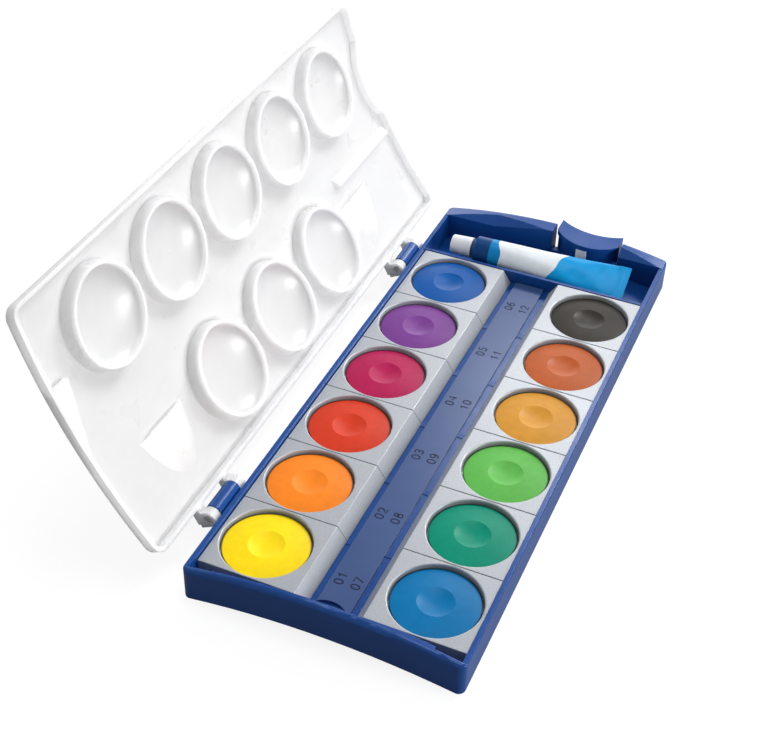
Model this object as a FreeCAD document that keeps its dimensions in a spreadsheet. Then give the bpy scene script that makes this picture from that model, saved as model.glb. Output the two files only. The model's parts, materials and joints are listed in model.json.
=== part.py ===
import FreeCAD, Part
import Sketcher
import math
import os
import re

# Watercolour paint set: an arched tray with two rows of paint pans, a brush
# channel between them, a tube compartment with a tube of opaque white and a
# latch at the far end, and a translucent lid with mixing wells that is hinged
# on the left long side and stands open.
# Origin: middle of the plane that the tray stands on. X across, Y along the
# tray towards the latch, Z up.

Vector = FreeCAD.Vector
Rotation = FreeCAD.Rotation
ALONG_Y = Rotation(Vector(1, 0, 0), -90)
ALONG_X = Rotation(Vector(0, 1, 0), 90)

doc = FreeCAD.newDocument("paint_set")
sheet = doc.addObject("Spreadsheet::Sheet", "Dims")

SIZES = [
    # general
    ("above_all", 60.0, "height above every shut piece, for cutters"),
    ("bite", 0.5, "how far joined pieces reach into each other"),
    ("slide_gap", 0.3, "running gap beside sliding pieces"),
    # tray
    ("tray_half_w", 56.6, "tray, half width outside"),
    ("tray_half_l", 137.9, "tray, half length outside"),
    ("tray_edge_h", 14.4, "height of the long walls"),
    ("tray_arch", 6.0, "rise of the end walls at mid width"),
    ("under_arch", 4.6, "rise of the underside at mid width"),
    ("foot_strip", 2.5, "flat strip under each long wall"),
    ("corner_r", 3.0, "vertical corners of the tray"),
    ("rim_r", 1.9, "rounded outer rim of the end walls"),
    ("side_rim_r", 0.8, "rounded outer rim of the long walls"),
    ("inner_half_w", 54.5, "tray, half width inside"),
    ("near_wall", 2.4, "thickness of the near end wall"),
    ("ledge_w", 1.2, "ledge inside the near wall"),
    ("ledge_x0", 14.0, "start of the ledge across"),
    ("ledge_x1", 30.0, "ledge reaches its full width here"),
    ("ledge_x2", 44.0, "blunt end of the ledge across"),
    ("far_wall", 8.8, "thickness of the far end wall"),
    ("facet_z", 14.9, "lower edge of the facets inside the far wall"),
    ("facet_tilt", 38.0, "slope of those facets"),
    ("facet_x", -30.0, "where the left facet starts to rise"),
    ("facet_up", 5.0, "how far it rises towards the latch"),
    ("floor_t", 1.5, "thickness of the arched floor"),
    ("lip_t", 1.5, "wall between pans and tube compartment"),
    ("lip_h", 12.5, "height of that wall"),
    ("rib_t", 3.0, "thickness of the ribs that carry the pans"),
    ("tube_rib_a", 4.0, "first tube rib, from the shoulder"),
    ("tube_rib_b", 54.0, "second tube rib, from the shoulder"),
    ("tube_rib_t", 2.0, "thickness of the tube ribs"),
    ("tube_rib_z", 5.8, "top of the first tube rib"),
    ("tube_rib_rise", 2.0, "second tube rib above the first"),
    # pans
    ("pan_pitch", 38.0, "pan spacing along the tray"),
    ("pan_gap", 0.3, "gap between neighbouring pans"),
    ("pan_first", -110.4, "middle of the nearest pan along Y"),
    ("pan_mid_x", 34.0, "middle of a pan row across"),
    ("pan_w", 40.4, "pan width at the top"),
    ("pan_slant", 4.1, "how far the slanted side spreads"),
    ("pan_base", 6.2, "height of the pan underside"),
    ("pan_top", 12.4, "height of the pan top"),
    ("pan_edge_r", 0.25, "rounded straight upper edges of a pan"),
    ("well_edge_r", 0.6, "rounded rim of the round well"),
    ("well_r", 17.95, "radius of the round well in a pan"),
    ("well_shift", 0.8, "well offset towards the tray wall"),
    ("well_floor", 1.3, "plate under the well"),
    ("tablet_gap", 0.05, "tablet above the floor of its well"),
    # tablets
    ("tablet_r", 17.3, "radius of a paint tablet"),
    ("tablet_h", 2.9, "tablet height at its edge"),
    ("tablet_dome", 1.2, "extra height of the tablet at its middle"),
    ("dimple_r", 7.9, "radius of the dimple"),
    ("dimple_d", 1.3, "depth of the dimple"),
    # channel
    ("panel_half_w", 7.0, "half width of the channel panel"),
    ("panel_t", 1.1, "thickness of the channel panel"),
    ("panel_near_gap", 0.6, "gap at the near end of the panel"),
    ("panel_far_gap", 0.4, "gap at the far end of the panel"),
    ("scoop_r", 9.5, "radius of the round notch in the panel"),
    ("scoop_x", -1.3, "middle of the notch across"),
    ("scoop_in", 3.2, "middle of the notch from the near wall"),
    # hinge
    ("axis_x", -60.5, "hinge axis across"),
    ("axis_z", 12.7, "hinge axis height"),
    ("barrel_r", 3.6, "hinge barrel radius"),
    ("barrel_l", 15.6, "hinge barrel length"),
    ("bore_r", 1.78, "bore of the barrel"),
    ("pin_r", 1.7, "hinge pin radius"),
    ("snap_w", 2.6, "snap slot in the barrel"),
    ("hinge_near", -97.2, "middle of the near barrel along Y"),
    ("hinge_far", 88.6, "middle of the far barrel along Y"),
    ("ear_t", 4.2, "thickness of a lid ear"),
    ("ear_r", 3.4, "radius of a lid ear"),
    ("ear_gap", 0.3, "gap between ear and barrel"),
    ("ear_top", 17.6, "top of the ear arms when shut"),
    ("ear_foot_z0", 15.2, "low side of the ear feet when shut"),
    ("ear_foot_z1", 18.6, "high side of the ear feet when shut"),
    ("ear_foot_in", 1.5, "ear foot starts inside the arm"),
    ("pin_inset", 0.4, "pin ends below the ear faces"),
    # latch
    ("latch_x", 17.0, "middle of the latch across"),
    ("latch_half_w", 15.5, "half width of the latch"),
    ("latch_gap", 1.5, "gap beside the latch"),
    ("belly_r", 17.6, "radius of the latch belly"),
    ("belly_y", 124.3, "tip of the latch belly"),
    ("thumb_y", 136.9, "middle of the hollow thumb face"),
    ("thumb_tip", 142.3, "tips of the thumb face"),
    ("latch_base", 6.5, "height of the latch underside"),
    ("latch_drop", 0.6, "latch top below the arch"),
    ("plate_lip", 1.1, "overhang of the latch top plate"),
    ("plate_under", 16.8, "underside of the latch top plate at its edge"),
    ("tab_x", 16.3, "middle of the tab across"),
    ("tab_half_w", 2.6, "half width of the tab"),
    ("tab_t", 1.7, "thickness of the tab"),
    ("tab_z0", 10.8, "underside of the tab"),
    ("tab_z1", 16.4, "top of the tab"),
    ("latch_travel", 3.0, "how far the latch slides out"),
    ("tongue_w", 2.4, "guide tongue beside the latch"),
    ("tongue_y", 129.6, "near end of the guide tongues"),
    ("tongue_l", 3.0, "length of the guide tongues"),
    ("tongue_z", 7.7, "underside of the guide tongues"),
    ("tongue_t", 1.5, "thickness of the guide tongues"),
    # lid
    ("lid_half_w", 55.3, "lid, half width"),
    ("lid_half_l", 137.0, "lid, half length"),
    ("lid_depth", 5.0, "depth of the lid rim"),
    ("lid_gap", 0.3, "gap between lid and tray when shut"),
    ("lid_wall", 1.6, "side wall of the lid"),
    ("lid_sheet", 1.3, "thickness of the lid sheet"),
    ("lid_corner_r", 5.0, "vertical corners of the lid"),
    ("lid_rim_r", 1.4, "rounded outer edge of the lid"),
    ("lid_open", 117.1, "opening angle of the lid"),
    ("notch_r", 29.3, "radius of the latch notch in the lid"),
    ("notch_d", 7.0, "depth of the latch notch"),
    ("notch_x", 16.0, "middle of the latch notch"),
    ("dish_h", 6.2, "height of a mixing well"),
    ("dish_base_r", 21.6, "radius of a mixing well at the sheet"),
    ("dish_rim_r", 20.2, "radius of a mixing well at its rim"),
    ("dish_wall", 1.2, "wall of a mixing well"),
    ("dish_floor", 0.3, "floor of a mixing well below the sheet"),
    ("dish_root", 0.9, "how far a well reaches into the sheet"),
    ("dish_out_x", 27.3, "outer row of mixing wells, across"),
    ("dish_in_x", -29.0, "inner row of mixing wells, across"),
    ("dish_pitch", 47.5, "spacing of the mixing wells"),
    ("dish_first", -95.2, "nearest mixing well of the outer row"),
    ("dish_shift", -3.4, "inner row offset along the lid"),
    ("field_z", 20.6, "height of the flat mixing fields when shut"),
    ("field_edge", -22.0, "inner edge of the mixing fields, across"),
    ("field_near", -95.0, "middle of the near mixing field along Y"),
    ("field_far", 84.0, "middle of the far mixing field along Y"),
    ("field_half", 15.0, "half length of a mixing field"),
    ("field_rise", 2.9, "depth of a mixing field at its middle"),
    ("rib_x", -12.5, "rib beside the far mixing field"),
    ("rib_t0", 1.0, "flat crest of that rib"),
    ("rib_slope", 4.5, "width of the sloped side of that rib"),
    ("rib_y", 76.0, "near end of that rib"),
    ("rib_z", 21.2, "height of that rib when shut"),
    ("skin_t", 0.3, "fields end this far below the outer face"),
    ("ramp_z", 20.2, "low side of the ramp when shut"),
    ("ramp_z1", 23.6, "high side of the ramp when shut"),
    ("ramp_x", 20.0, "half length of the ramp"),
    ("ramp_w", 10.0, "width of the ramp"),
    # tube
    ("tube_r", 6.6, "radius of the tube body"),
    ("tube_l", 70.0, "length of the tube body"),
    ("tube_x", -31.5, "shoulder of the tube across"),
    ("tube_y", 109.3, "tube axis along the tray"),
    ("tube_z", 12.9, "tube axis height at the shoulder"),
    ("crimp_half", 9.4, "half width of the folded end"),
    ("crimp_l", 5.0, "length of the folded end"),
    ("crimp_t", 1.5, "thickness of the folded end"),
    ("flat_a", 0.28, "where the tube starts to flatten, of its length"),
    ("flat_b", 0.62, "where it is half flat, of its length"),
    ("flat_a_d", 0.3, "flattening at the first place"),
    ("flat_b_half", 7.9, "half width at the second place"),
    ("flat_b_thin", 3.9, "half thickness at the second place"),
    ("shoulder_l", 2.2, "length of the shoulder cone"),
    ("shoulder_r", 4.3, "shoulder cone radius at the neck"),
    ("shoulder_step", 0.2, "small step between shoulder and skin"),
    ("neck_r", 3.4, "radius of the neck"),
    ("neck_bore", 1.3, "radius of the outlet"),
    ("neck_l", 7.3, "length of the neck"),
    ("tube_roll", 26.0, "roll of the folded end"),
    ("tube_yaw", 1.7, "turn of the tube in plan"),
    ("tube_dip", 0.3, "slope of the tube towards its folded end"),
    ("cap_r", 5.0, "radius of the tube cap"),
    ("cap_l", 10.5, "length of the tube cap"),
    ("cap_taper", 0.5, "taper of the cap radius"),
    ("cap_gap", 0.2, "gap round the neck in the cap and behind it"),
    ("cap_edge_r", 0.8, "rounded closed end of the cap"),
]
for row, (alias, value, note) in enumerate(SIZES, start=1):
    sheet.set("A%d" % row, note)
    sheet.set("B%d" % row, str(value))
    sheet.setAlias("B%d" % row, alias)
aliases = [alias for alias, value, note in SIZES]


def ref(text):
    # turns bare size names into references to the sheet
    def full(match):
        word = match.group(0)
        return "Dims." + word if word in aliases else word
    return re.sub(r"[A-Za-z_]\w*", full, str(text))


def read(text):
    return float(sheet.evalExpression(ref(text)))


SEATS = 6
CLOSE = 0.001
doc.recompute()


# primitives
def place(obj, x, y, z):
    for axis, text in zip("xyz", (x, y, z)):
        obj.setExpression("Placement.Base." + axis, ref(text))


def block(name, x0, x1, y0, y1, z0, z1):
    obj = doc.addObject("Part::Box", name)
    obj.setExpression("Length", ref("(%s)-(%s)" % (x1, x0)))
    obj.setExpression("Width", ref("(%s)-(%s)" % (y1, y0)))
    obj.setExpression("Height", ref("(%s)-(%s)" % (z1, z0)))
    place(obj, x0, y0, z0)
    return obj


def rod(name, x, y, z, radius, length, turn=None):
    obj = doc.addObject("Part::Cylinder", name)
    obj.setExpression("Radius", ref(radius))
    obj.setExpression("Height", ref(length))
    if turn is not None:
        obj.Placement = FreeCAD.Placement(Vector(0, 0, 0), turn)
    place(obj, x, y, z)
    return obj


def cone(name, x, y, z, low_r, high_r, length, turn=None):
    obj = doc.addObject("Part::Cone", name)
    obj.setExpression("Radius1", ref(low_r))
    obj.setExpression("Radius2", ref(high_r))
    obj.setExpression("Height", ref(length))
    if turn is not None:
        obj.Placement = FreeCAD.Placement(Vector(0, 0, 0), turn)
    place(obj, x, y, z)
    return obj


def ball(name, x, y, z, radius):
    obj = doc.addObject("Part::Sphere", name)
    obj.setExpression("Radius", ref(radius))
    place(obj, x, y, z)
    return obj


def bowl(name, x, y, z, radius, height):
    # half axes: radius in the plane, height along Z
    obj = doc.addObject("Part::Ellipsoid", name)
    obj.setExpression("Radius1", ref(height))
    obj.setExpression("Radius2", ref(radius))
    obj.setExpression("Radius3", ref(radius))
    place(obj, x, y, z)
    return obj


def join(name, parts):
    obj = doc.addObject("Part::MultiFuse", name)
    obj.Shapes = parts
    obj.Refine = True
    return obj


def overlap(name, parts):
    obj = doc.addObject("Part::MultiCommon", name)
    obj.Shapes = parts
    obj.Refine = True
    return obj


def cut(name, base, tools):
    tool = tools[0]
    if len(tools) > 1:
        tool = join(name + "_tools", tools)
    obj = doc.addObject("Part::Cut", name)
    obj.Base = base
    obj.Tool = tool
    obj.Refine = True
    return obj


def round_edges(name, base, fits, radius_at):
    # rounds each edge whose points all fit, with a radius for each of its ends
    doc.recompute()
    picked = []
    for index, edge in enumerate(base.Shape.Edges):
        spots = edge.discretize(5)
        if all(fits(spot) for spot in spots):
            ends = [edge.valueAt(edge.FirstParameter), edge.valueAt(edge.LastParameter)]
            picked.append((index + 1, radius_at(ends[0]), radius_at(ends[1])))
    obj = doc.addObject("Part::Fillet", name)
    obj.Base = base
    obj.Edges = picked
    return obj


def on_arc(arc_radius, arc_centre):
    # test for points on an arched top
    big = read(arc_radius)
    low = read(arc_centre)
    return lambda spot: abs(math.hypot(spot.x, spot.z - low) - big) < CLOSE


def plate(name, half_x, half_y, radius, z0, z1):
    # upright block with round vertical corners
    parts = [
        block(name + "_wide", "-(%s)" % half_x, half_x,
              "-(%s)+(%s)" % (half_y, radius), "(%s)-(%s)" % (half_y, radius), z0, z1),
        block(name + "_long", "-(%s)+(%s)" % (half_x, radius), "(%s)-(%s)" % (half_x, radius),
              "-(%s)" % half_y, half_y, z0, z1),
    ]
    for index, (sx, sy) in enumerate(((-1, -1), (1, -1), (1, 1), (-1, 1))):
        parts.append(rod("%s_corner%d" % (name, index + 1),
                         "%d*((%s)-(%s))" % (sx, half_x, radius),
                         "%d*((%s)-(%s))" % (sy, half_y, radius),
                         z0, radius, "(%s)-(%s)" % (z1, z0)))
    return join(name, parts)


nodes = []


def keep(obj, label):
    obj.Label = label
    nodes.append(obj)
    return obj


def origin_plane(body, role):
    for feature in body.Origin.OriginFeatures:
        if feature.Role == role:
            return feature
    raise ValueError(role)


def outline(body, name, role, points):
    # closed polygon, every corner bound to the sheet
    sketch = body.newObject("Sketcher::SketchObject", name)
    sketch.AttachmentSupport = [(origin_plane(body, role), "")]
    sketch.MapMode = "FlatFace"
    spots = [Vector(read(px), read(py), 0) for px, py in points]
    count = len(spots)
    for index in range(count):
        sketch.addGeometry(Part.LineSegment(spots[index], spots[(index + 1) % count]))
    for index in range(count):
        sketch.addConstraint(Sketcher.Constraint("Coincident", index, 2, (index + 1) % count, 1))
    for index, (px, py) in enumerate(points):
        for kind, text, value in (("DistanceX", px, spots[index].x), ("DistanceY", py, spots[index].y)):
            number = sketch.addConstraint(Sketcher.Constraint(kind, -1, 1, index, 1, value))
            sketch.setExpression("Constraints[%d]" % number, ref(text))
    return sketch


# tray
# arcs of the end walls and of the underside, from half chord and rise
TOP_R = "((tray_half_w^2+tray_arch^2)/(2*tray_arch))"
TOP_C = f"(tray_edge_h+tray_arch-{TOP_R})"
UNDER_R = "(((tray_half_w-foot_strip)^2+under_arch^2)/(2*under_arch))"
UNDER_C = f"(under_arch-{UNDER_R})"
# faces of the pan bay and of the tube bay along Y
ROWS_NEAR = "(-tray_half_l+near_wall)"
ROWS_FAR = "(pan_first+5.5*pan_pitch+0.3)"
BAY_NEAR = f"({ROWS_FAR}+lip_t)"
BAY_FAR = "(tray_half_l-far_wall)"


def arch(name, radius, centre_z):
    return rod(name, "0", "-tray_half_l-5", centre_z, radius, "2*tray_half_l+10", ALONG_Y)


tray_block = plate("TrayPlan", "tray_half_w", "tray_half_l", "corner_r", "0", "above_all")
tray_sharp = overlap("TraySharp", [tray_block, arch("TrayTopArch", TOP_R, TOP_C)])


def rim_radius(spot):
    # wide rounding on the end walls, tight rounding on the long walls
    at_side = abs(spot.x) > read("tray_half_w") - CLOSE
    return read("side_rim_r" if at_side else "rim_r")


tray_solid = round_edges("TraySolid", tray_sharp, on_arc(TOP_R, TOP_C), rim_radius)
open_top = block("OpenTop", "-tray_half_w-1", "tray_half_w+1", ROWS_NEAR, BAY_FAR,
                 "tray_edge_h", "above_all")
rows_box = block("RowsBox", "-inner_half_w", "inner_half_w", ROWS_NEAR, ROWS_FAR, "0", "above_all")
rows_bay = cut("RowsBay", rows_box, [arch("RowsFloor", UNDER_R + "+floor_t", UNDER_C)])
tube_box = block("TubeBox", "-inner_half_w", "inner_half_w", BAY_NEAR, BAY_FAR, "0", "above_all")
tube_bay = cut("TubeBay", tube_box, [arch("TubeFloor", UNDER_R + "+floor_t", UNDER_C)])
lip_top = block("LipTop", "-inner_half_w", "inner_half_w", ROWS_FAR + "-bite", BAY_NEAR + "+bite",
                "lip_h", "above_all")
latch_bay = block("LatchBay", "latch_x-latch_half_w-latch_gap", "latch_x+latch_half_w+latch_gap",
                  BAY_FAR + "-bite", "tray_half_l+bite", "latch_base-slide_gap", "above_all")
latch_rail = block("LatchRail", "latch_x-latch_half_w-tongue_w-slide_gap",
                   "latch_x+latch_half_w+tongue_w+slide_gap",
                   BAY_FAR + "-bite", "tongue_y+tongue_l+latch_travel+slide_gap",
                   "tongue_z-slide_gap", "tongue_z+tongue_t+slide_gap")
facets = []
for tag, corners in (
        ("Left", (("-inner_half_w", "0"), ("facet_x", "0"), ("latch_x-latch_half_w-latch_gap", "facet_up"),
                  ("latch_x-latch_half_w-latch_gap", "above_all"), ("-inner_half_w", "above_all"))),
        ("Right", (("latch_x+latch_half_w", "0"), ("inner_half_w", "0"),
                   ("inner_half_w", "above_all"), ("latch_x+latch_half_w", "above_all")))):
    wedge = doc.addObject("PartDesign::Body", "Facet" + tag)
    wedge_side = outline(wedge, "FacetSide" + tag, "XZ_Plane", corners)
    wedge_pad = wedge.newObject("PartDesign::Pad", "FacetPad" + tag)
    wedge_pad.Profile = wedge_side
    wedge_pad.setExpression("Length", ref("above_all"))
    wedge_pad.Midplane = True
    wedge.Tip = wedge_pad
    wedge.Placement = FreeCAD.Placement(Vector(0, 0, 0), Rotation(Vector(1, 0, 0), 1))
    wedge.setExpression("Placement.Rotation.Angle", ref("facet_tilt"))
    place(wedge, "0", BAY_FAR, "facet_z")
    facets.append(wedge)
far_only = block("FarOnly", "-inner_half_w", "inner_half_w", BAY_FAR + "-bite", "tray_half_l",
                 "0", "above_all")
facet_tool = overlap("FacetTool", [join("Facets", facets), far_only])
tray_hollow = cut("TrayHollow", tray_solid,
                  [open_top, rows_bay, tube_bay, lip_top, latch_bay, latch_rail, facet_tool])
ledge_body = doc.addObject("PartDesign::Body", "LedgeBody")
ledge_plan = outline(ledge_body, "LedgePlan", "XY_Plane", [
    ("ledge_x0", ROWS_NEAR + "-bite"),
    ("ledge_x2", ROWS_NEAR + "-bite"),
    ("ledge_x2", ROWS_NEAR + "+ledge_w"),
    ("ledge_x1", ROWS_NEAR + "+ledge_w"),
    ("ledge_x0", ROWS_NEAR),
])
ledge_pad = ledge_body.newObject("PartDesign::Pad", "LedgePad")
ledge_pad.Profile = ledge_plan
ledge_pad.setExpression("Length", ref("above_all"))
ledge_body.Tip = ledge_pad
ledge = overlap("Ledge", [ledge_body, arch("LedgeArch", TOP_R, TOP_C)])

ribs = []
for seat in range(SEATS + 1):
    middle = "(pan_first+(%d-0.5)*pan_pitch)" % seat
    ribs.append(block("PanRib%d" % (seat + 1), "-inner_half_w-bite", "inner_half_w+bite",
                      middle + "-rib_t/2", middle + "+rib_t/2", "0", "pan_base"))
for tag, offset, top in (("A", "tube_rib_a", "tube_rib_z"), ("B", "tube_rib_b", "tube_rib_z+tube_rib_rise")):
    ribs.append(block("TubeRib" + tag, "tube_x+%s-tube_rib_t/2" % offset, "tube_x+%s+tube_rib_t/2" % offset,
                      BAY_NEAR + "-bite", "belly_y-slide_gap", "0", top))
barrels = []
holes = []
for tag, middle in (("Near", "hinge_near"), ("Far", "hinge_far")):
    start = "%s-barrel_l/2" % middle
    barrels.append(rod("Barrel" + tag, "axis_x", start, "axis_z", "barrel_r", "barrel_l", ALONG_Y))
    barrels.append(block("Bracket" + tag, "axis_x", "-tray_half_w+bite", start,
                         "%s+barrel_l/2" % middle, "axis_z-barrel_r", "axis_z"))
    holes.append(rod("Bore" + tag, "axis_x", "%s-barrel_l" % middle, "axis_z",
                     "bore_r", "2*barrel_l", ALONG_Y))
    holes.append(block("Snap" + tag, "axis_x-barrel_r-bite", "axis_x", "%s-bite" % start,
                       "%s+barrel_l/2+bite" % middle, "axis_z-snap_w/2", "axis_z+snap_w/2"))
tray_ribbed = join("TrayRibbed", [tray_hollow, ledge] + ribs + barrels)
keep(cut("Tray", tray_ribbed, holes + [arch("UnderArch", UNDER_R, UNDER_C)]), "tray")

# raised plate on the channel floor, with a round notch at its near end
panel_plate = block("PanelPlate", "-panel_half_w", "panel_half_w", ROWS_NEAR + "+panel_near_gap",
                    ROWS_FAR + "-panel_far_gap", "pan_base", "pan_base+panel_t")
scoop = rod("Scoop", "scoop_x", ROWS_NEAR + "+scoop_in", "pan_base-bite", "scoop_r", "panel_t+2*bite")
keep(cut("ChannelPanel", panel_plate, [scoop]), "channel_panel")


# pans
def pan(tag, side, seat):
    # cup with one slanted side towards the channel and a round well
    body = doc.addObject("PartDesign::Body", "Pan" + tag)
    section = outline(body, "Section" + tag, "XZ_Plane", [
        ("-pan_w/2", "0"),
        ("pan_w/2+pan_slant", "0"),
        ("pan_w/2", "pan_top-pan_base"),
        ("-pan_w/2", "pan_top-pan_base"),
    ])
    pad = body.newObject("PartDesign::Pad", "Block" + tag)
    pad.Profile = section
    pad.setExpression("Length", ref("pan_pitch-pan_gap"))
    pad.Midplane = True
    well = body.newObject("PartDesign::SubtractiveCylinder", "Well" + tag)
    well.setExpression("Radius", ref("well_r"))
    well.setExpression("Height", ref("pan_top"))
    well.AttachmentSupport = [(origin_plane(body, "XY_Plane"), "")]
    well.MapMode = "FlatFace"
    well.setExpression("AttachmentOffset.Base.x", ref("-well_shift"))
    well.setExpression("AttachmentOffset.Base.z", ref("well_floor"))
    base = well
    for kind, curve, radius in (("Soft", "Line", "pan_edge_r"), ("Rim", "Circle", "well_edge_r")):
        doc.recompute()
        top_edges = []
        for index, edge in enumerate(base.Shape.Edges):
            level = all(abs(spot.z - read("pan_top-pan_base")) < CLOSE for spot in edge.discretize(3))
            if level and edge.Curve.TypeId == "Part::Geom" + curve:
                top_edges.append("Edge%d" % (index + 1))
        rounded = body.newObject("PartDesign::Fillet", kind + tag)
        rounded.Base = (base, top_edges)
        rounded.setExpression("Radius", ref(radius))
        base = rounded
    body.Tip = base
    if side > 0:
        body.Placement = FreeCAD.Placement(Vector(0, 0, 0), Rotation(Vector(0, 0, 1), 180))
    place(body, "%d*pan_mid_x" % side, "pan_first+%d*pan_pitch" % seat, "pan_base")
    return body


def tablet(tag, side, seat):
    # pressed paint: low dome with a dimple in the middle
    core = rod("TabletCore" + tag, "0", "0", "0", "tablet_r", "tablet_h+tablet_dome")
    dome_r = "((tablet_r^2+tablet_dome^2)/(2*tablet_dome))"
    dome = ball("TabletDome" + tag, "0", "0", "tablet_h+tablet_dome-" + dome_r, dome_r)
    top = overlap("TabletTop" + tag, [core, dome])
    dish_r = "((dimple_r^2+dimple_d^2)/(2*dimple_d))"
    dish = ball("TabletDish" + tag, "0", "0", "tablet_h+tablet_dome-dimple_d+" + dish_r, dish_r)
    piece = cut("Tablet" + tag, top, [dish])
    place(piece, "%d*(pan_mid_x+well_shift)" % side, "pan_first+%d*pan_pitch" % seat,
          "pan_base+well_floor+tablet_gap")
    return piece


for side, letter in ((-1, "l"), (1, "r")):
    for seat in range(SEATS):
        tag = "%s%d" % (letter.upper(), seat + 1)
        keep(pan(tag, side, seat), "pan_%s%d" % (letter, seat + 1))
        keep(tablet(tag, side, seat), "tablet_%s%d" % (letter, seat + 1))

# latch
THUMB_FACE_R = "((latch_half_w^2+(thumb_tip-thumb_y)^2)/(2*(thumb_tip-thumb_y)))"
latch_parts = []
for tag, shrink, z0, z1 in (("Plate", "0", "plate_under", "above_all"),
                            ("Stem", "plate_lip", "latch_base", "plate_under+bite")):
    belly = rod("Latch%sBelly" % tag, "latch_x", "belly_y+belly_r", z0,
                "belly_r-(%s)" % shrink, "(%s)-(%s)" % (z1, z0))
    flank = block("Latch%sFlank" % tag, "latch_x-latch_half_w", "latch_x+latch_half_w",
                  "belly_y-bite", "thumb_tip", z0, z1)
    hollow = rod("Latch%sHollow" % tag, "latch_x", "thumb_y+" + THUMB_FACE_R, "0",
                 THUMB_FACE_R, "above_all")
    arc = overlap("Latch%sArc" % tag, [belly, flank])
    latch_parts.append(cut("Latch%s" % tag, arc, [hollow]))
tongue = block("LatchTongue", "latch_x-latch_half_w-tongue_w", "latch_x+latch_half_w+tongue_w",
               "tongue_y", "tongue_y+tongue_l", "tongue_z", "tongue_z+tongue_t")
latch_all = join("LatchAll", latch_parts + [tongue])
latch_arch = arch("LatchArch", TOP_R + "-latch_drop", TOP_C)
latch_solid = overlap("LatchSolid", [latch_all, latch_arch])
tab_back = "(belly_y+plate_lip-bite+tab_t)"
tab_seat = block("TabSeat", "tab_x-tab_half_w", "tab_x+tab_half_w", "belly_y-bite", tab_back,
                 "tab_z0", "tab_z1")
keep(cut("Latch", latch_solid, [tab_seat]), "latch")
keep(block("LatchTab", "tab_x-tab_half_w", "tab_x+tab_half_w", tab_back + "-tab_t", tab_back,
           "tab_z0", "tab_z1"), "latch_tab")

# lid
# built shut, then turned open about the hinge axis
LID_OUT_R = f"({TOP_R}+lid_gap+lid_depth)"
LID_IN_R = f"({LID_OUT_R}-lid_sheet)"
lid_block = plate("LidPlan", "lid_half_w", "lid_half_l", "lid_corner_r", "tray_edge_h-bite", "above_all")
lid_sharp = overlap("LidSharp", [lid_block, arch("LidTopArch", LID_OUT_R, TOP_C)])
lid_solid = round_edges("LidSolid", lid_sharp, on_arc(LID_OUT_R, TOP_C), lambda spot: read("lid_rim_r"))
lid_room = plate("LidRoomPlan", "lid_half_w-lid_wall", "lid_half_l-lid_wall",
                 "lid_corner_r-lid_wall", "tray_edge_h-2*bite", "above_all+bite")
room_arch = arch("LidRoomArch", LID_IN_R, TOP_C)
notch_y = "lid_half_l-notch_d+notch_r"
room_notch = rod("LidRoomNotch", "notch_x", notch_y, "0", "notch_r+lid_wall", "above_all+lid_wall")
lid_hollow = cut("LidHollow", overlap("LidRoom", [lid_room, room_arch]), [room_notch])
rim_arch = arch("LidRimArch", TOP_R + "+lid_gap", TOP_C)
lid_notch = rod("LidNotch", "notch_x", notch_y, "0", "notch_r", "above_all")
lid_shell = cut("LidShell", lid_solid, [lid_hollow, rim_arch, lid_notch])


bosses = []
bowls = []
grooves = []
spots = []
for seat in range(5):
    spots.append(("Out%d" % (seat + 1), "dish_out_x", "(dish_first+%d*dish_pitch)" % seat))
for seat in range(1, 4):
    spots.append(("In%d" % seat, "dish_in_x", "(dish_first+%d*dish_pitch+dish_shift)" % seat))
for tag, x, y in spots:
    # each well leans with the arch; its own origin is in the plane of its rim
    boss = cone("Boss" + tag, "0", "0", "0", "dish_rim_r", "dish_base_r", "dish_h+dish_root")
    dish = bowl("Bowl" + tag, "0", "0", "0", "dish_rim_r-dish_wall", "dish_h-dish_floor")
    gap_cone = cone("GapCone" + tag, "0", "0", "dish_wall", "dish_rim_r-dish_wall",
                    "dish_base_r", "dish_h+lid_sheet+dish_root+dish_wall")
    gap_bowl = bowl("GapBowl" + tag, "0", "0", "0", "dish_rim_r", "dish_h+dish_root")
    groove = cut("Groove" + tag, gap_cone, [gap_bowl])
    along = f"({LID_IN_R}-dish_h)/{LID_IN_R}"
    for piece, store in ((boss, bosses), (dish, bowls), (groove, grooves)):
        piece.Placement = FreeCAD.Placement(Vector(0, 0, 0), Rotation(Vector(0, 1, 0), 1))
        piece.setExpression("Placement.Rotation.Angle", ref(f"asin({x}/{LID_IN_R})"))
        place(piece, f"{x}*{along}", y, f"{TOP_C}+sqrt({LID_IN_R}^2-{x}^2)*{along}")
        store.append(piece)

ears = []
for tag, middle in (("Near", "hinge_near"), ("Far", "hinge_far")):
    for end, sign in (("A", -1), ("B", 1)):
        if sign < 0:
            start = "%s-barrel_l/2-ear_gap-ear_t" % middle
        else:
            start = "%s+barrel_l/2+ear_gap" % middle
        name = tag + end
        ears.append(rod("EarDisc" + name, "axis_x", start, "axis_z", "ear_r", "ear_t", ALONG_Y))
        ears.append(block("EarArm" + name, "axis_x-ear_r", "axis_x+ear_r", start,
                          "(%s)+ear_t" % start, "axis_z", "ear_top"))
        ears.append(block("EarFoot" + name, "axis_x-ear_r+ear_foot_in", "-lid_half_w+lid_wall/2", start,
                          "(%s)+ear_t" % start, "ear_foot_z0", "ear_foot_z1"))
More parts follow.
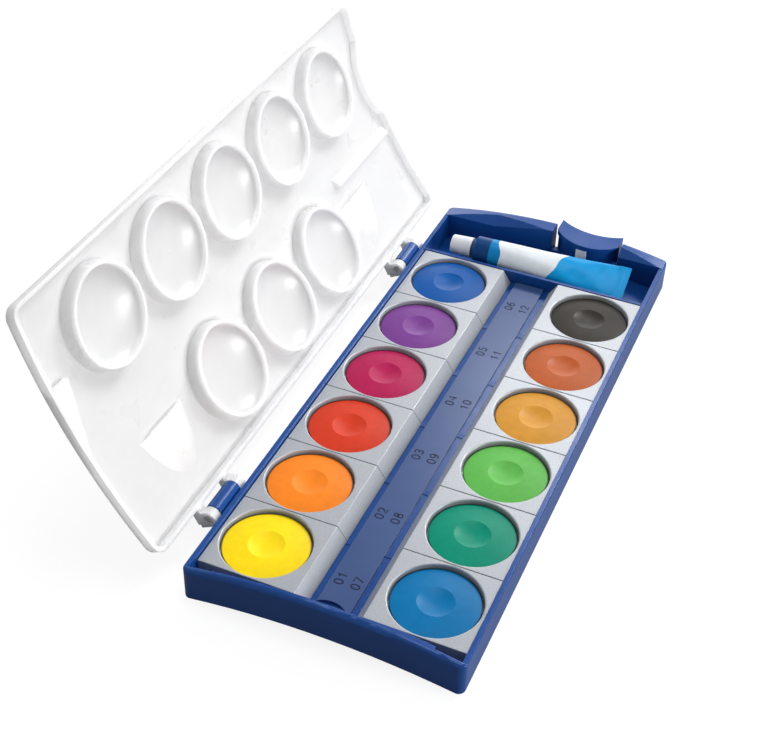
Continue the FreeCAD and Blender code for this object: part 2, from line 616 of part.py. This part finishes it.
# two shallow mixing fields near the hinge, a rib and a ramp, all under the sheet
fields = []
FIELD_R = "((field_half^2+field_rise^2)/(2*field_rise))"
for tag, middle in (("Near", "field_near"), ("Far", "field_far")):
    field = block("Field" + tag, "-lid_half_w+lid_wall/2", "field_edge",
                  middle + "-field_half", middle + "+field_half", "field_z", "above_all")
    swell = rod("Swell" + tag, "-lid_half_w", middle, "field_z+" + FIELD_R, FIELD_R, "lid_half_w", ALONG_X)
    under = arch("FieldArch" + tag, LID_OUT_R + "-skin_t", TOP_C)
    fields.append(overlap("Mixing" + tag, [field, swell, under]))


def under_sheet(name, role, corners, height, x, y, z, reverse):
    # prism on the inside of the lid, cut off under its outer face
    body = doc.addObject("PartDesign::Body", name + "Body")
    side = outline(body, name + "Side", role, corners)
    pad = body.newObject("PartDesign::Pad", name + "Pad")
    pad.Profile = side
    pad.setExpression("Length", ref(height))
    pad.Reversed = reverse
    body.Tip = pad
    place(body, x, y, z)
    return body


rib = under_sheet("Rib", "XZ_Plane", [
    ("rib_x", "rib_z"),
    ("rib_x+rib_t0", "rib_z"),
    ("rib_x+rib_t0+rib_slope", "rib_z+rib_slope"),
    ("rib_x+rib_t0+rib_slope", "above_all"),
    ("rib_x", "above_all"),
], "lid_half_l-lid_corner_r-rib_y", "0", "rib_y", "0", True)
fields.append(overlap("MixingRib", [rib, arch("RibArch", LID_OUT_R + "-skin_t", TOP_C)]))
ramp = under_sheet("Ramp", "XZ_Plane", [
    ("-ramp_x", "ramp_z1"),
    ("ramp_x", "ramp_z"),
    ("ramp_x", "above_all"),
    ("-ramp_x", "above_all"),
], "ramp_w", "0", "-lid_half_l+lid_wall/2", "0", True)
ramp_plan = under_sheet("RampPlan", "XY_Plane", [
    ("-ramp_x", "0"),
    ("ramp_x", "0"),
    ("ramp_x", "ramp_w"),
], "above_all", "0", "-lid_half_l+lid_wall/2", "0", False)
fields.append(overlap("MixingRamp", [ramp, ramp_plan, arch("RampArch", LID_OUT_R + "-skin_t", TOP_C)]))
lid_full = join("LidFull", [lid_shell] + bosses + ears + fields)
ear_bores = []
for tag, middle in (("Near", "hinge_near"), ("Far", "hinge_far")):
    ear_bores.append(rod("EarBore" + tag, "axis_x", "%s-barrel_l" % middle, "axis_z",
                         "pin_r", "2*barrel_l", ALONG_Y))
lid = keep(cut("Lid", lid_full, bowls + grooves + ear_bores), "lid")

for tag, middle in (("near", "hinge_near"), ("far", "hinge_far")):
    reach = "(barrel_l/2+ear_gap+ear_t-pin_inset)"
    pin = rod("Pin" + tag, "axis_x", "%s-%s" % (middle, reach), "axis_z", "pin_r",
              "2*%s" % reach, ALONG_Y)
    keep(pin, "hinge_pin_" + tag)

axis_point = Vector(read("axis_x"), 0, read("axis_z"))
swing = Rotation(Vector(0, -1, 0), read("lid_open"))
lid.Placement = FreeCAD.Placement(Vector(0, 0, 0), swing, axis_point)

# tube
# built along +X from the shoulder, then rolled and set down in its bay


def tube_ring(name, x, wide, thin):
    ring = doc.addObject("Part::Ellipse", name)
    ring.setExpression("MajorRadius", ref(wide))
    ring.setExpression("MinorRadius", ref(thin))
    ring.Placement = FreeCAD.Placement(Vector(0, 0, 0), Rotation(Vector(1, 1, 1), 120))
    ring.setExpression("Placement.Base.x", ref(x))
    return ring


rings = [
    tube_ring("RingShoulder", "0", "tube_r+0.001", "tube_r"),
    tube_ring("RingEarly", "tube_l*flat_a", "tube_r+flat_a_d", "tube_r-flat_a_d"),
    tube_ring("RingMiddle", "tube_l*flat_b", "flat_b_half", "flat_b_thin"),
    tube_ring("RingEnd", "tube_l", "crimp_half", "crimp_t/2"),
]
skin = doc.addObject("Part::Loft", "TubeSkin")
skin.Sections = rings
skin.Solid = True
skin.Ruled = False
fold = block("TubeFold", "tube_l-bite", "tube_l+crimp_l", "-crimp_half", "crimp_half",
             "-crimp_t/2", "crimp_t/2")
shoulder = cone("TubeShoulder", "-shoulder_l", "0", "0", "shoulder_r", "tube_r-shoulder_step",
                "shoulder_l+bite", ALONG_X)
tube_body = keep(join("TubeBody", [skin, fold, shoulder]), "tube_body")
neck_rod = rod("NeckRod", "-shoulder_l-neck_l", "0", "0", "neck_r", "neck_l", ALONG_X)
outlet = rod("Outlet", "-shoulder_l-neck_l-bite", "0", "0", "neck_bore", "neck_l", ALONG_X)
tube_neck = keep(cut("TubeNeck", neck_rod, [outlet]), "tube_neck")
cap_sharp = cone("CapSharp", "-shoulder_l-cap_gap-cap_l", "0", "0",
                 "cap_r-cap_taper", "cap_r", "cap_l", ALONG_X)
cap_end = read("-shoulder_l-cap_gap-cap_l")
cap_solid = round_edges("CapSolid", cap_sharp, lambda spot: abs(spot.x - cap_end) < CLOSE,
                        lambda spot: read("cap_edge_r"))
cap_bore = rod("CapBore", "-shoulder_l-neck_l-cap_gap", "0", "0", "neck_r+cap_gap", "cap_l", ALONG_X)
tube_cap = keep(cut("TubeCap", cap_solid, [cap_bore]), "tube_cap")
lie = Rotation(Vector(0, 0, 1), read("tube_yaw")) * Rotation(Vector(0, 1, 0), read("tube_dip"))
roll = Rotation(Vector(1, 0, 0), read("tube_roll"))
for piece in (tube_body, tube_neck, tube_cap):
    piece.Placement = FreeCAD.Placement(Vector(0, 0, 0), lie * roll)
    place(piece, "tube_x", "tube_y", "tube_z")
doc.recompute()

# check and save
for obj in doc.Objects:
    if "Invalid" in obj.State or "Error" in obj.State:
        raise RuntimeError("failed: %s %s" % (obj.Name, obj.State))
for obj in nodes:
    if obj.Shape.isNull() or not obj.Shape.isValid():
        raise RuntimeError("bad shape: " + obj.Label)
os.makedirs("parts", exist_ok=True)
for obj in nodes:
    obj.Shape.exportStep("parts/%s.step" % obj.Label)
    box = obj.Shape.optimalBoundingBox()
    print("%-16s solids %d volume %9.1f  x %.1f %.1f  y %.1f %.1f  z %.1f %.1f" % (
        obj.Label, len(obj.Shape.Solids), obj.Shape.Volume,
        box.XMin, box.XMax, box.YMin, box.YMax, box.ZMin, box.ZMax))
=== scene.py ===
import json
import math
import bpy
import bmesh
from mathutils import Matrix, Vector


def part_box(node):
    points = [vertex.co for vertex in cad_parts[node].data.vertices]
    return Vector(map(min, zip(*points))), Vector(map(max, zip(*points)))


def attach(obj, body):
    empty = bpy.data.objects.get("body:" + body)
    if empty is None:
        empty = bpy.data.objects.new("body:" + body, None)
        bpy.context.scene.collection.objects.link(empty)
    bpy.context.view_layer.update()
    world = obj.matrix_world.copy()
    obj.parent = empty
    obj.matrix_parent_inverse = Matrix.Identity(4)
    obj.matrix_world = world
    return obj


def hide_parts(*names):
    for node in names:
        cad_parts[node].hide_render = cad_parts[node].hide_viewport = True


# Looks of the watercolour paint set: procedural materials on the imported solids,
# a modelled paint tube, printed numbers on the channel panel, light and camera.

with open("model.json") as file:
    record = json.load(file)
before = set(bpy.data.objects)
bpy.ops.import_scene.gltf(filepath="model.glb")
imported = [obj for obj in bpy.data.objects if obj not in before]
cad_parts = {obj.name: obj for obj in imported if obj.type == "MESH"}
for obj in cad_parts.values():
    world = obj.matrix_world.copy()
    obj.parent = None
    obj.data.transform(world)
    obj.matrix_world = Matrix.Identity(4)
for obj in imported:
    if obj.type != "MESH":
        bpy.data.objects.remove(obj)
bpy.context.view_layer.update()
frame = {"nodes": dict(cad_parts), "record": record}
nodes = frame["nodes"]
MM = 0.001


# colours and node helpers
def linear(r, g, b):
    # screen colour, 0 to 255, to the linear values that shaders use
    def channel(value):
        value /= 255
        return value / 12.92 if value <= 0.04045 else ((value + 0.055) / 1.055) ** 2.4
    return (channel(r), channel(g), channel(b), 1.0)


def new_material(name):
    material = bpy.data.materials.new(name)
    material.use_nodes = True
    shader = material.node_tree.nodes["Principled BSDF"]
    return material, material.node_tree, shader


def object_noise(tree, scale, detail=2.0, roughness=0.5, stretch=None):
    place = tree.nodes.new("ShaderNodeTexCoord")
    noise = tree.nodes.new("ShaderNodeTexNoise")
    noise.inputs["Scale"].default_value = scale
    noise.inputs["Detail"].default_value = detail
    noise.inputs["Roughness"].default_value = roughness
    source = place.outputs["Object"]
    if stretch is not None:
        mapping = tree.nodes.new("ShaderNodeMapping")
        mapping.inputs["Scale"].default_value = stretch
        tree.links.new(source, mapping.inputs["Vector"])
        source = mapping.outputs["Vector"]
    tree.links.new(source, noise.inputs["Vector"])
    return noise.outputs["Fac"]


def ramp_between(tree, factor, low, high, start=0.3, end=0.7):
    ramp = tree.nodes.new("ShaderNodeValToRGB")
    ramp.color_ramp.elements[0].position = start
    ramp.color_ramp.elements[0].color = low
    ramp.color_ramp.elements[1].position = end
    ramp.color_ramp.elements[1].color = high
    tree.links.new(factor, ramp.inputs["Fac"])
    return ramp.outputs["Color"]


def range_between(tree, factor, low, high):
    span = tree.nodes.new("ShaderNodeMapRange")
    span.inputs["To Min"].default_value = low
    span.inputs["To Max"].default_value = high
    tree.links.new(factor, span.inputs["Value"])
    return span.outputs["Result"]


def add_bump(tree, shader, height, strength, distance, edge=0.0):
    bump = tree.nodes.new("ShaderNodeBump")
    bump.inputs["Strength"].default_value = strength
    bump.inputs["Distance"].default_value = distance
    tree.links.new(height, bump.inputs["Height"])
    if edge:
        # softly broken edges
        bevel = tree.nodes.new("ShaderNodeBevel")
        bevel.samples = 4
        bevel.inputs["Radius"].default_value = edge
        tree.links.new(bevel.outputs["Normal"], bump.inputs["Normal"])
    tree.links.new(bump.outputs["Normal"], shader.inputs["Normal"])
    return bump


def scaled(color, factor):
    return tuple(min(1.0, c * factor) for c in color[:3]) + (1.0,)


def moulded(name, color, roughness, grain=900, depth=0.03, spread=0.06, shine=0.5, edge=0.3 * MM):
    # moulded plastic: faint cloudy colour, fine grain and uneven gloss
    material, tree, shader = new_material(name)
    cloud = object_noise(tree, 45, 3)
    tone = ramp_between(tree, cloud, scaled(color, 1 - spread), scaled(color, 1 + spread))
    tree.links.new(tone, shader.inputs["Base Color"])
    gloss = range_between(tree, object_noise(tree, 120, 4), roughness - 0.05, roughness + 0.07)
    tree.links.new(gloss, shader.inputs["Roughness"])
    shader.inputs["Specular IOR Level"].default_value = shine
    add_bump(tree, shader, object_noise(tree, grain, 2), depth, 0.2 * MM, edge)
    return material


# materials
def pan_silver():
    # silver grey plastic with a fine metallic fleck
    material, tree, shader = new_material("PanSilver")
    base = linear(168, 172, 178)
    fleck = object_noise(tree, 2600, 1)
    tone = ramp_between(tree, fleck, scaled(base, 0.90), scaled(base, 1.08), 0.35, 0.65)
    tree.links.new(tone, shader.inputs["Base Color"])
    shader.inputs["Metallic"].default_value = 0.25
    gloss = range_between(tree, object_noise(tree, 90, 3), 0.27, 0.38)
    tree.links.new(gloss, shader.inputs["Roughness"])
    add_bump(tree, shader, object_noise(tree, 1500, 2), 0.03, 0.1 * MM, 0.2 * MM)
    return material


def pressed_paint(name, color, tablet):
    # dry pressed paint: even cake, faint mottling and pores, and a painted shadow, a dark band at the edge where the
    # gap to the pan is shaded
    material, tree, shader = new_material("Paint_" + name)
    mottle = object_noise(tree, 260, 4, 0.6)
    tone = ramp_between(tree, mottle, scaled(color, 0.93), scaled(color, 1.05), 0.3, 0.75)
    low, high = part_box(tablet)
    place = tree.nodes.new("ShaderNodeTexCoord")
    spoke = tree.nodes.new("ShaderNodeVectorMath")
    spoke.operation = "SUBTRACT"
    spoke.inputs[1].default_value = ((low[0] + high[0]) / 2, (low[1] + high[1]) / 2, 0)
    tree.links.new(place.outputs["Object"], spoke.inputs[0])
    flat = tree.nodes.new("ShaderNodeVectorMath")
    flat.operation = "MULTIPLY"
    flat.inputs[1].default_value = (1, 1, 0)
    tree.links.new(spoke.outputs[0], flat.inputs[0])
    reach = tree.nodes.new("ShaderNodeVectorMath")
    reach.operation = "LENGTH"
    tree.links.new(flat.outputs[0], reach.inputs[0])
    # painted shadow: the outer half millimetre of each tablet darkens, standing in for the shade of the gap round it
    gap_shadow_band = tree.nodes.new("ShaderNodeMapRange")
    edge = (high[0] - low[0]) / 2
    gap_shadow_band.inputs["From Min"].default_value = edge - 0.55 * MM
    gap_shadow_band.inputs["From Max"].default_value = edge - 0.15 * MM
    gap_shadow_band.inputs["To Min"].default_value = 0.0
    gap_shadow_band.inputs["To Max"].default_value = 0.85
    tree.links.new(reach.outputs["Value"], gap_shadow_band.inputs["Value"])
    gap_shadow_mix = tree.nodes.new("ShaderNodeMix")
    gap_shadow_mix.data_type = "RGBA"
    tree.links.new(gap_shadow_band.outputs["Result"], gap_shadow_mix.inputs["Factor"])
    pair = [socket for socket in gap_shadow_mix.inputs if socket.type == "RGBA"]
    tree.links.new(tone, pair[0])
    # colour of the painted gap shadow: 8 percent of the paint's colour
    pair[1].default_value = scaled(color, 0.08)
    mixed = [socket for socket in gap_shadow_mix.outputs if socket.type == "RGBA"][0]
    tree.links.new(mixed, shader.inputs["Base Color"])
    gloss = range_between(tree, object_noise(tree, 420, 3), 0.29, 0.38)
    tree.links.new(gloss, shader.inputs["Roughness"])
    shader.inputs["Specular IOR Level"].default_value = 0.13
    add_bump(tree, shader, object_noise(tree, 1300, 3, 0.6), 0.08, 0.15 * MM)
    return material


def milky_lid():
    # milky translucent plastic, slightly uneven in thickness
    material, tree, shader = new_material("LidMilky")
    base = linear(239, 239, 240)
    cloud = object_noise(tree, 30, 3)
    tone = ramp_between(tree, cloud, scaled(base, 0.97), scaled(base, 1.02))
    tree.links.new(tone, shader.inputs["Base Color"])
    gloss = range_between(tree, object_noise(tree, 80, 3), 0.24, 0.34)
    tree.links.new(gloss, shader.inputs["Roughness"])
    shader.inputs["Subsurface Weight"].default_value = 0.65
    shader.inputs["Subsurface Radius"].default_value = (1.0, 1.0, 1.0)
    shader.inputs["Subsurface Scale"].default_value = 12 * MM
    add_bump(tree, shader, object_noise(tree, 500, 2), 0.02, 0.15 * MM)
    return material


TRAY_BLUE = linear(19, 68, 138)
PANEL_BLUE = linear(62, 84, 132)
PAINTS = {
    "yellow": (253, 219, 20), "orange": (244, 132, 34), "red": (205, 58, 32), "pink": (172, 26, 80),
    "violet": (116, 60, 138), "blue": (2, 80, 154),
    "cyan": (0, 114, 172), "teal": (0, 140, 113), "green": (96, 180, 80), "ochre": (208, 146, 52),
    "sienna": (182, 90, 44), "black": (46, 42, 36),
}

tray_blue = moulded("TrayBlue", TRAY_BLUE, 0.22, shine=0.3)
panel_blue = moulded("PanelBlue", PANEL_BLUE, 0.22, grain=1400, shine=0.35)
silver = pan_silver()
lid_white = milky_lid()
knuckle_white = moulded("KnuckleWhite", linear(236, 238, 242), 0.3)
tab_white = moulded("TabWhite", linear(252, 252, 253), 0.3)
cap_grey = moulded("CapGrey", linear(214, 216, 222), 0.38, grain=1800)
slot_of = {row["node"]: row["material_slot"] for row in frame["record"]["subparts"]}
tablet_of = {slot: node for node, slot in slot_of.items() if slot.startswith("paint_")}
paints = {name: pressed_paint(name, linear(*rgb), tablet_of["paint_" + name]) for name, rgb in PAINTS.items()}


def dress(node, material):
    # material for an imported solid; its mesh stays as it is
    piece = nodes[node]
    piece.data.materials.clear()
    piece.data.materials.append(material)
    return piece


by_slot = {"tray_blue": tray_blue, "panel_blue": panel_blue, "pan_silver": silver,
           "tab_white": tab_white, "lid_milky": lid_white, "tube_print": knuckle_white,
           "neck_white": knuckle_white, "cap_grey": cap_grey}
for node, slot_name in slot_of.items():
    if slot_name.startswith("paint_"):
        dress(node, paints[slot_name[len("paint_"):]])
    else:
        dress(node, by_slot[slot_name])


# paint tube: thin metal skin, round at the shoulder and folded flat at its end
TUBE_R = 6.6
TUBE_L = 70.0
FOLD_L = 5.0
TUBE_STOPS = (0.0, 0.28 * TUBE_L, 0.62 * TUBE_L, TUBE_L)
TUBE_WIDE = (6.6, 6.9, 7.9, 9.4)
TUBE_THIN = (6.6, 6.3, 3.9, 0.75)


def through(stops, values, at):
    # smooth curve through four values
    total = 0.0
    for i, value in enumerate(values):
        share = value
        for j, stop in enumerate(stops):
            if j != i:
                share *= (at - stop) / (stops[i] - stop)
        total += share
    return total


def tube_section(at, turns):
    # one ring of the skin, in millimetres, with dents where it flattens
    ring = []
    if at < 0:
        radius = 6.4 + at * 0.95
        wide = thin = radius
    else:
        run = min(at, TUBE_L)
        wide = through(TUBE_STOPS, TUBE_WIDE, run)
        thin = max(0.55, through(TUBE_STOPS, TUBE_THIN, run))
    flat = max(0.0, min(1.0, at / TUBE_L))
    for step in range(turns):
        angle = 2 * math.pi * step / turns
        y = wide * math.cos(angle)
        z = thin * math.sin(angle)
        dent = 0.0
        if at > 4:
            dent += 0.22 * flat * math.sin(0.29 * at + 1.7 * math.cos(angle)) * math.sin(2 * angle)
            dent += 0.10 * flat * math.sin(0.83 * at - 3.1 * math.cos(angle)) * abs(math.sin(angle))
            dent -= 0.45 * math.exp(-((at - 52) / 7) ** 2 - ((angle - 1.9) / 0.5) ** 2)
            dent -= 0.30 * math.exp(-((at - 31) / 5) ** 2 - ((angle - 1.2) / 0.4) ** 2)
        fade = min(1.0, max(0.0, (TUBE_L - at) / 8))
        z += dent * fade
        if at > TUBE_L:
            # folded end: two layers, a fold line and fine pressed ridges
            layer = 0.75 if at < TUBE_L + 2.4 else 0.62
            ridge = 0.05 * math.cos(2 * math.pi * y / 1.1)
            z = math.copysign(layer + ridge, math.sin(angle)) if abs(math.sin(angle)) > 0.12 else 0.0
        ring.append((at * MM, y * MM, z * MM))
    return ring


def build_tube():
    turns = 120
    cuts = [-2.2, -1.4, -0.7, -0.25, -0.05]
    cuts += [0.0, 0.15, 0.4] + [0.9 + 0.72 * k for k in range(96)]
    cuts += [TUBE_L + 0.02, TUBE_L + 0.25] + [TUBE_L + 0.6 + 0.36 * k for k in range(12)] + [TUBE_L + FOLD_L]
    points = []
    faces = []
    for at in cuts:
        points += tube_section(at, turns)
    for ring in range(len(cuts) - 1):
        for step in range(turns):
            here = ring * turns
            after = (step + 1) % turns
            faces.append((here + step, here + after, here + turns + after, here + turns + step))
    faces.append(tuple(reversed(range(turns))))
    last = (len(cuts) - 1) * turns
    faces.append(tuple(range(last, last + turns)))
    mesh = bpy.data.meshes.new("TubeSkin")
    mesh.from_pydata(points, [], faces)
    work = bmesh.new()
    work.from_mesh(mesh)
    bmesh.ops.recalc_face_normals(work, faces=work.faces)
    work.to_mesh(mesh)
    work.free()
    mesh.shade_smooth()
    mesh.set_sharp_from_angle(angle=math.radians(40))
    tube = bpy.data.objects.new("tube_skin", mesh)
    bpy.context.scene.collection.objects.link(tube)
    turn = (Matrix.Rotation(math.radians(1.7), 4, "Z") @ Matrix.Rotation(math.radians(0.3), 4, "Y")
            @ Matrix.Rotation(math.radians(26), 4, "X"))
    tube.matrix_world = Matrix.Translation(Vector((-31.5, 109.3, 12.9)) * MM) @ turn
    mesh.materials.append(tube_print())
    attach(tube, "tube")
    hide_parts("tube_body")


def math_node(tree, operation, a, b=None):
    node = tree.nodes.new("ShaderNodeMath")
    node.operation = operation
    for index, value in enumerate((a, b)):
        if value is None:
            continue
        if isinstance(value, (int, float)):
            node.inputs[index].default_value = value
        else:
            tree.links.new(value, node.inputs[index])
    return node.outputs[0]


def tube_print():
    # printed bands: dark blue, mid blue, white and cyan, with curved borders
    material, tree, shader = new_material("TubePrint")
    place = tree.nodes.new("ShaderNodeTexCoord")
    split = tree.nodes.new("ShaderNodeSeparateXYZ")
    tree.links.new(place.outputs["Object"], split.inputs[0])
    along = math_node(tree, "MULTIPLY", split.outputs["X"], 1000)
    across = math_node(tree, "MULTIPLY", split.outputs["Y"], 1000)
    swell = math_node(tree, "SINE", math_node(tree, "MULTIPLY", across, 0.42))
    lean = math_node(tree, "MULTIPLY", across, 0.55)
    near_edge = math_node(tree, "ADD", along, math_node(tree, "MULTIPLY", swell, 1.3))
    far_edge = math_node(tree, "SUBTRACT", math_node(tree, "ADD", along, swell), lean)
    dark = linear(14, 62, 116)
    middle = linear(10, 128, 190)
    white = linear(222, 229, 233)
    cyan = linear(0, 148, 212)

    def border(value, start, before, behind):
        step = math_node(tree, "GREATER_THAN", value, start)
        mix = tree.nodes.new("ShaderNodeMix")
        mix.data_type = "RGBA"
        tree.links.new(step, mix.inputs["Factor"])
        for socket, color in (("A", before), ("B", behind)):
            target = [s for s in mix.inputs if s.name == socket and s.type == "RGBA"][0]
            if isinstance(color, tuple):
                target.default_value = color
            else:
                tree.links.new(color, target)
        return [s for s in mix.outputs if s.type == "RGBA"][0]

    first = border(along, 7.3, dark, middle)
    second = border(near_edge, 12.0, first, white)
    third = border(far_edge, 41.0, second, cyan)
    wear = ramp_between(tree, object_noise(tree, 300, 4, 0.6), (0.94, 0.94, 0.94, 1), (1, 1, 1, 1))
    shade = tree.nodes.new("ShaderNodeMix")
    shade.data_type = "RGBA"
    shade.blend_type = "MULTIPLY"
    shade.inputs["Factor"].default_value = 1.0
    colors = [s for s in shade.inputs if s.type == "RGBA"]
    tree.links.new(third, colors[0])
    tree.links.new(wear, colors[1])
    tree.links.new([s for s in shade.outputs if s.type == "RGBA"][0], shader.inputs["Base Color"])
    gloss = range_between(tree, object_noise(tree, 160, 3), 0.26, 0.38)
    tree.links.new(gloss, shader.inputs["Roughness"])
    shader.inputs["Specular IOR Level"].default_value = 0.15
    add_bump(tree, shader, object_noise(tree, 240, 3), 0.12, 0.2 * MM)
    return material


build_tube()


# plain numbers beside the pans, printed on the channel panel
STROKES = {
    "0": [[(0.5, 0), (0.15, 0.12), (0, 0.5), (0.15, 0.88), (0.5, 1), (0.85, 0.88), (1, 0.5), (0.85, 0.12), (0.5, 0)]],
    "1": [[(0.15, 0.72), (0.55, 1), (0.55, 0)]],
    "2": [[(0.05, 0.76), (0.25, 0.96), (0.55, 1), (0.88, 0.88), (0.95, 0.66), (0.75, 0.42), (0, 0), (1, 0)]],
    "3": [[(0.05, 0.86), (0.4, 1), (0.8, 0.92), (0.9, 0.72), (0.7, 0.56), (0.4, 0.52), (0.75, 0.46),
           (0.97, 0.28), (0.8, 0.06), (0.4, 0), (0.03, 0.12)]],
    "4": [[(0.78, 0), (0.78, 1), (0, 0.3), (1, 0.3)]],
    "5": [[(0.9, 1), (0.18, 1), (0.1, 0.55), (0.5, 0.63), (0.88, 0.5), (0.97, 0.28), (0.8, 0.07), (0.4, 0), (0.03, 0.1)]],
    "6": [[(0.85, 0.93), (0.5, 1), (0.15, 0.8), (0.02, 0.4), (0.12, 0.1), (0.5, 0), (0.88, 0.1), (0.98, 0.34),
           (0.8, 0.56), (0.45, 0.6), (0.1, 0.45)]],
    "7": [[(0, 1), (1, 1), (0.4, 0)]],
    "8": [[(0.5, 0.54), (0.15, 0.66), (0.12, 0.88), (0.5, 1), (0.88, 0.88), (0.85, 0.66), (0.5, 0.54), (0.08, 0.4),
           (0.05, 0.12), (0.5, 0), (0.95, 0.12), (0.92, 0.4), (0.5, 0.54)]],
    "9": [[(0.15, 0.07), (0.5, 0), (0.85, 0.2), (0.98, 0.6), (0.88, 0.9), (0.5, 1), (0.12, 0.9), (0.02, 0.66),
           (0.2, 0.44), (0.55, 0.4), (0.9, 0.55)]],
}


def ribbon(points, faces, line, half, top):
    # flat printed stroke with mitred joints
    count = len(line)
    start = len(points)
    for index, spot in enumerate(line):
        before = line[max(0, index - 1)]
        behind = line[min(count - 1, index + 1)]
        run = Vector((behind[0] - before[0], behind[1] - before[1])).normalized()
        points.append((spot[0] - run.y * half, spot[1] + run.x * half, top))
        points.append((spot[0] + run.y * half, spot[1] - run.x * half, top))
    for index in range(count - 1):
        k = start + 2 * index
        faces.append((k, k + 1, k + 3, k + 2))


def build_numbers():
    points = []
    faces = []
    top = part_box("channel_panel")[1][2] + 0.03 * MM
    high = 3.6 * MM
    wide = 2.3 * MM
    for seat in range(6):
        middle = (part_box("pan_l%d" % (seat + 1))[0][1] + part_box("pan_l%d" % (seat + 1))[1][1]) / 2
        for column, number in ((-1, seat + 1), (1, seat + 7)):
            line_x = column * 3.4 * MM + high / 2
            for place, digit in enumerate("%02d" % number):
                start_y = middle + (place - 1) * (wide + 1.2 * MM)
                for stroke in STROKES[digit]:
                    line = [(line_x - v * high, start_y + u * wide) for u, v in stroke]
                    ribbon(points, faces, line, 0.30 * MM, top)
    mesh = bpy.data.meshes.new("Numbers")
    mesh.from_pydata(points, [], faces)
    numbers = bpy.data.objects.new("pan_numbers", mesh)
    bpy.context.scene.collection.objects.link(numbers)
    mesh.materials.append(moulded("NumberInk", linear(16, 24, 52), 0.5, shine=0.15, edge=0.0))
    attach(numbers, "tray")


build_numbers()


# floor, light and camera
def backdrop_share(tree, glossy):
    # 1 where the camera or a refracted ray sees the backdrop, less in reflections
    path = tree.nodes.new("ShaderNodeLightPath")
    dim = tree.nodes.new("ShaderNodeMath")
    dim.operation = "MULTIPLY"
    dim.inputs[1].default_value = glossy
    tree.links.new(path.outputs["Is Glossy Ray"], dim.inputs[0])
    seen = tree.nodes.new("ShaderNodeMath")
    seen.operation = "MAXIMUM"
    tree.links.new(path.outputs["Is Camera Ray"], seen.inputs[0])
    tree.links.new(path.outputs["Is Transmission Ray"], seen.inputs[1])
    share = tree.nodes.new("ShaderNodeMath")
    share.operation = "MAXIMUM"
    tree.links.new(seen.outputs[0], share.inputs[0])
    tree.links.new(dim.outputs[0], share.inputs[1])
    return share.outputs[0]


def make_floor():
    mesh = bpy.data.meshes.new("Floor")
    half = 3.0
    corners = [(-half, -half, 0), (half, -half, 0), (half, half, 0), (-half, half, 0)]
    mesh.from_pydata(corners, [], [(0, 1, 2, 3)])
    floor = bpy.data.objects.new("Floor", mesh)
    bpy.context.scene.collection.objects.link(floor)
    material, tree, shader = new_material("FloorPale")
    shader.inputs["Base Color"].default_value = (0.22, 0.22, 0.22, 1)
    shader.inputs["Roughness"].default_value = 0.9
    shader.inputs["Specular IOR Level"].default_value = 0.0
    lift = tree.nodes.new("ShaderNodeMath")
    lift.operation = "MULTIPLY"
    lift.inputs[1].default_value = FLOOR_LIFT
    tree.links.new(backdrop_share(tree, 0.12), lift.inputs[0])
    shader.inputs["Emission Color"].default_value = (1, 1, 1, 1)
    tree.links.new(lift.outputs[0], shader.inputs["Emission Strength"])
    mesh.materials.append(material)


def softbox(name, place, aim, width, height, power):
    data = bpy.data.lights.new(name, "AREA")
    data.shape = "RECTANGLE"
    data.size = width
    data.size_y = height
    data.energy = power
    lamp = bpy.data.objects.new(name, data)
    lamp.location = place
    lamp.rotation_euler = (Vector(aim) - Vector(place)).to_track_quat("-Z", "Y").to_euler()
    bpy.context.scene.collection.objects.link(lamp)


def make_world():
    world = bpy.data.worlds.new("Studio")
    bpy.context.scene.world = world
    world.use_nodes = True
    tree = world.node_tree
    tree.nodes.clear()
    out = tree.nodes.new("ShaderNodeOutputWorld")
    ambient = tree.nodes.new("ShaderNodeBackground")
    ambient.inputs["Color"].default_value = (1, 1, 1, 1)
    ambient.inputs["Strength"].default_value = AMBIENT
    backdrop = tree.nodes.new("ShaderNodeBackground")
    backdrop.inputs["Color"].default_value = (1, 1, 1, 1)
    backdrop.inputs["Strength"].default_value = 1.0
    mix = tree.nodes.new("ShaderNodeMixShader")
    tree.links.new(backdrop_share(tree, 0.15), mix.inputs["Fac"])
    tree.links.new(ambient.outputs[0], mix.inputs[1])
    tree.links.new(backdrop.outputs[0], mix.inputs[2])
    tree.links.new(mix.outputs[0], out.inputs["Surface"])


def make_camera():
    # eye and view direction match the photograph; the small roll is part of it
    eye = Vector((0.15045, -0.44843, 0.40908))
    forward = Vector((-0.29639, 0.72043, -0.62700)).normalized()
    up = Vector((-0.26606, 0.56823, 0.77867))
    right = forward.cross(up).normalized()
    up = right.cross(forward)
    data = bpy.data.cameras.new("PhotoCamera")
    data.sensor_width = 36
    data.lens = 67.38
    data.clip_start = 0.01
    camera = bpy.data.objects.new("PhotoCamera", data)
    turn = Matrix((right, up, -forward)).transposed()
    camera.matrix_world = Matrix.Translation(eye) @ turn.to_4x4()
    bpy.context.scene.collection.objects.link(camera)
    bpy.context.scene.camera = camera


FLOOR_LIFT = 0.86
AMBIENT = 0.38
make_floor()
make_world()
softbox("Key", (0.42, 1.16, 1.08), (0, 0, 0.03), 0.55, 0.45, 15)
softbox("Side", (1.50, 0.10, 0.22), (0, 0, 0.05), 0.9, 0.3, 16)
softbox("Glint", (-0.20, 1.22, 1.08), (0, 0, 0.03), 0.35, 0.22, 2.5)
softbox("Back", (-0.75, 1.60, 0.45), (0, 0, 0.03), 1.8, 0.8, 12)
softbox("Top", (0.10, 0.15, 1.60), (0, 0, 0), 0.8, 0.5, 6)
make_camera()
bpy.context.scene.view_settings.view_transform = "Standard"
